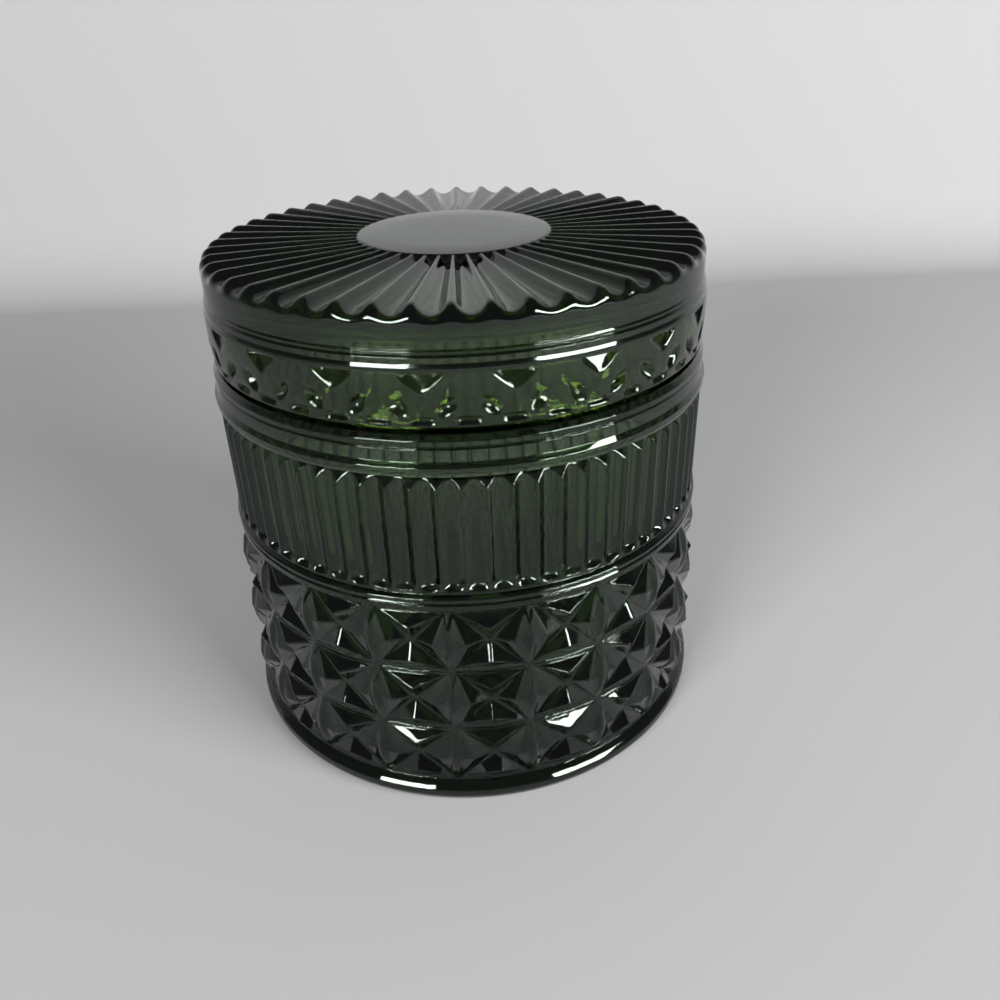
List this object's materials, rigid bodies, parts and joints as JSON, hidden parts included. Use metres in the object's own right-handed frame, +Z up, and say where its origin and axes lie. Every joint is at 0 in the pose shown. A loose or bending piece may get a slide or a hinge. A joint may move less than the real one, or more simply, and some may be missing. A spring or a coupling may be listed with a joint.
{
  "type": "glass storage jar",
  "caption": "Round pressed-glass storage jar with square star and flute bands, and a loose ribbed glass lid that drops over its neck.",
  "frame": {"origin": "centre of the foot, on the surface that the jar stands on", "axes": "+Z up along the jar's axis of revolution; +X and +Y are equal, and -Y is the side shown at the front"},
  "size_m": [0.129, 0.1288, 0.127],
  "materials": {
    "jar_glass": "gloss, very dark green pressed glass",
    "lid_glass": "gloss, dark green pressed glass, fire polished"
  },
  "bodies": {
    "jar": {"jar_body": "jar_glass"},
    "lid": {"lid": "lid_glass"}
  },
  "joints": [
    {"name": "lid_lift", "type": "slide", "parent": "jar", "child": "lid", "axis": [0, 0, 1], "range_m": [0, 0.15]}
  ]
}
